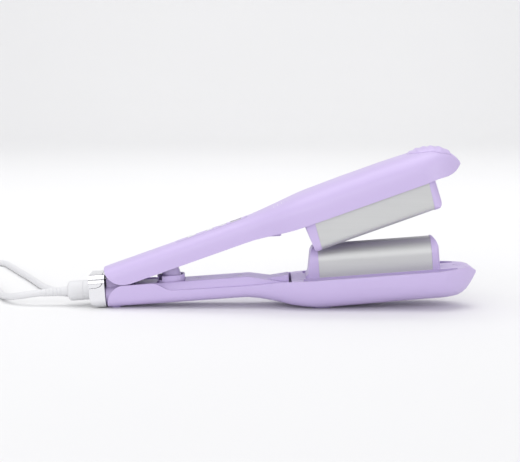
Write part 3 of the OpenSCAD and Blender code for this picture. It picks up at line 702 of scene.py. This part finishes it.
print("spring:", SPRING_TURNS, "turns,", len(spring.data.polygons), "faces")

# %% [markdown]
# ## Plug
# The lead ends in a flat two-pin mains plug. Its body starts as a block: the end towards
# the cord is drawn in to a neck, all edges are rounded, and four grip bars are joined in,
# nearly flush with its broad faces. The pins keep their place from the frame and get round noses.

# %% Plug body
PLUG_X = (111, 134)
PLUG_MIDDLE = (50, 7)
PLUG_SIZE = (28, 14)
bpy.ops.object.select_all(action="DESELECT")
bpy.ops.mesh.primitive_cube_add(size=1)
plug = bpy.context.object
plug.name = "plug"
body_start = PLUG_X[0] + 9
plug.data.transform(
    Matrix.Translation(((body_start + PLUG_X[1]) / 2 * MM, PLUG_MIDDLE[0] * MM, PLUG_MIDDLE[1] * MM))
    @ Matrix.Diagonal(((PLUG_X[1] - body_start) * MM, PLUG_SIZE[0] * MM, PLUG_SIZE[1] * MM, 1)))


def pick_faces(piece, wanted):
    """Selects the faces for which wanted(face) holds, in face mode."""
    bpy.ops.object.mode_set(mode="EDIT")
    bpy.ops.mesh.select_mode(type="FACE")
    bpy.ops.mesh.select_all(action="DESELECT")
    bpy.ops.object.mode_set(mode="OBJECT")
    for face in piece.data.polygons:
        face.select = bool(wanted(face))
    bpy.ops.object.mode_set(mode="EDIT")


pick_faces(plug, lambda face: face.normal.x < -0.9)
for forward, narrow, flat in ((-3.0, 0.62, 0.92), (-2.5, 0.66, 0.84), (-3.5, 0.80, 0.82)):
    bpy.ops.mesh.extrude_region_move(TRANSFORM_OT_translate={"value": (forward * MM, 0, 0)})
    body_start += forward
    bpy.ops.transform.resize(value=(1, narrow, flat),
                             center_override=(body_start * MM, PLUG_MIDDLE[0] * MM, PLUG_MIDDLE[1] * MM))
bpy.ops.object.mode_set(mode="OBJECT")
soften = plug.modifiers.new("soften", "BEVEL")
soften.width = 1.6 * MM
soften.segments = 4
soften.limit_method = "ANGLE"
soften.angle_limit = math.radians(25)
bpy.ops.object.modifier_apply(modifier="soften")
bpy.ops.object.shade_smooth_by_angle(angle=math.radians(40))
ridges = []
for i in range(4):
    bpy.ops.object.select_all(action="DESELECT")
    bpy.ops.mesh.primitive_cube_add(size=1)
    ridge = bpy.context.object
    ridge.data.transform(
        Matrix.Translation(((123.0 + 2.4 * i) * MM, PLUG_MIDDLE[0] * MM, PLUG_MIDDLE[1] * MM))
        @ Matrix.Diagonal((0.9 * MM, 16 * MM, (PLUG_SIZE[1] - 0.05) * MM, 1)))
    bpy.ops.object.mode_set(mode="EDIT")
    bpy.ops.mesh.select_all(action="SELECT")
    bpy.ops.mesh.bevel(offset=0.3 * MM, segments=2, affect="EDGES")
    bpy.ops.object.mode_set(mode="OBJECT")
    ridges.append(ridge)
joined(plug, *ridges)
stands_for(plug, "plug_body")
print("plug:", len(plug.data.polygons), "faces,", len(ridges), "ridges")

# %% The plug's pins
PIN_X = (134, 150)
pin_lathe = Matrix.Rotation(math.radians(90), 4, "Y")
pins = []
for side in (-9.3, 9.3):
    place = Matrix.Translation((0, (PLUG_MIDDLE[0] + side) * MM, PLUG_MIDDLE[1] * MM)) @ pin_lathe
    rings = [(0.6, PIN_X[0] - 1), (2.0, PIN_X[0] - 1), (2.0, PIN_X[1] - 1.4)]
    rings += rounded_edge(0.7, PIN_X[1] - 1.3, 1.3, 0, 90, 5)
    pins.append(turned("pins", rings, place, 32))
pins = stands_for(joined(pins[0], pins[1]), "plug_pins")
print("pins:", PIN_X[1] - PIN_X[0], "mm long")

# %% [markdown]
# ## Tie
# A loop of soft strap holds the coil, with a small keeper on its outer side. The strap keeps
# the frame's shape, with its doubles merged, and the keeper is a block that is drawn in by
# an inset at its outer face and rounded on all edges.

# %% The strap round the coil
tie = taken_over("coil_tie")
tie_low, tie_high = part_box("coil_tie")
KEEPER = (1.8, 5.0, 4.0)
keeper_place = (tie_high[0] - KEEPER[0] / 2 * MM, (tie_low[1] + tie_high[1]) / 2,
                (tie_low[2] + tie_high[2]) / 2)
bpy.ops.object.select_all(action="DESELECT")
bpy.ops.mesh.primitive_cube_add(size=1)
keeper = bpy.context.object
keeper.data.transform(Matrix.Translation(keeper_place)
                      @ Matrix.Diagonal([side * MM for side in KEEPER] + [1]))
pick_faces(keeper, lambda face: face.normal.x > 0.9)
bpy.ops.mesh.inset(thickness=0.6 * MM, depth=0.4 * MM)
bpy.ops.mesh.select_all(action="SELECT")
bpy.ops.mesh.bevel(offset=0.2 * MM, segments=2, affect="EDGES")
bpy.ops.object.mode_set(mode="OBJECT")
keeper.data.materials.append(finishes["dark_plastic"])
joined(tie, keeper)
print("tie and keeper:", len(tie.data.polygons), "faces")

# %% [markdown]
# ## Studio
# A pale sweep runs from under the iron to far behind it and turns up with no edge, so there
# is no horizon. One wide soft light hangs overhead and another fills from the front. Weak
# ones at the left and right keep the barrels from going flat, and the last one lights the
# sweep behind.

# %% The sweep
bpy.ops.object.select_all(action="DESELECT")
bpy.ops.mesh.primitive_plane_add(size=1)
sweep = bpy.context.object
sweep.name = "sweep"
SWEEP_WIDTH, SWEEP_FRONT, SWEEP_BACK, SWEEP_RISE = 9.0, -2.6, 1.9, 1.1
sweep.data.transform(Matrix.Translation((0, (SWEEP_FRONT + SWEEP_BACK) / 2, 0))
                     @ Matrix.Diagonal((SWEEP_WIDTH, SWEEP_BACK - SWEEP_FRONT, 1, 1)))
bpy.ops.object.mode_set(mode="EDIT")
bpy.ops.mesh.select_mode(type="EDGE")
bpy.ops.mesh.select_all(action="DESELECT")
bpy.ops.object.mode_set(mode="OBJECT")
for edge in sweep.data.edges:
    edge.select = all(sweep.data.vertices[v].co.y > SWEEP_BACK - 0.01 for v in edge.vertices)
bpy.ops.object.mode_set(mode="EDIT")
for i in range(12):
    angle = math.radians(90 * (i + 0.5) / 12)
    step = SWEEP_RISE * math.radians(90) / 12
    bpy.ops.mesh.extrude_region_move(
        TRANSFORM_OT_translate={"value": (0, step * math.cos(angle), step * math.sin(angle))})
bpy.ops.mesh.extrude_region_move(TRANSFORM_OT_translate={"value": (0, 0, 3.0)})
bpy.ops.object.mode_set(mode="OBJECT")
bpy.ops.object.shade_smooth_by_angle(angle=math.radians(60))


def paper(place):
    cloud = place.noise(3, 2)
    return {"Base Color": place.tint(cloud, (0.815, 0.815, 0.818), (0.83, 0.83, 0.833)),
            "Roughness": 0.85 + 0.05 * cloud}


sweep.data.materials.append(finish("paper", paper, Specular_IOR_Level=0.1))
print("sweep:", len(sweep.data.polygons), "faces")

# %% The lights
world = bpy.data.worlds.new("studio")
bpy.context.scene.world = world
world.use_nodes = True
world.node_tree.nodes["Background"].inputs["Color"].default_value = (0.98, 0.98, 1.0, 1)
world.node_tree.nodes["Background"].inputs["Strength"].default_value = 0.62


def soft_light(name, where, size, watts, target=(0, 0, 0.05)):
    data = bpy.data.lights.new(name, "AREA")
    data.shape = "RECTANGLE"
    data.size, data.size_y = size
    data.energy = watts
    light = bpy.data.objects.new(name, data)
    light.location = where
    light.rotation_euler = (Vector(target) - Vector(where)).to_track_quat("-Z", "Y").to_euler()
    bpy.context.scene.collection.objects.link(light)


soft_light("overhead", (-0.1, 0.1, 1.8), (2.2, 1.6), 15)
soft_light("front_fill", (-0.5, -2.3, 1.0), (2.4, 1.2), 16)
soft_light("left_fill", (-1.7, -1.0, 0.8), (1.2, 1.0), 5)
soft_light("right_fill", (1.8, -0.9, 0.7), (1.2, 1.0), 6)
soft_light("backdrop", (0, 0.6, 1.9), (3.0, 0.8), 20, (0, 2.9, 0.6))
bpy.context.scene.view_settings.view_transform = "Standard"
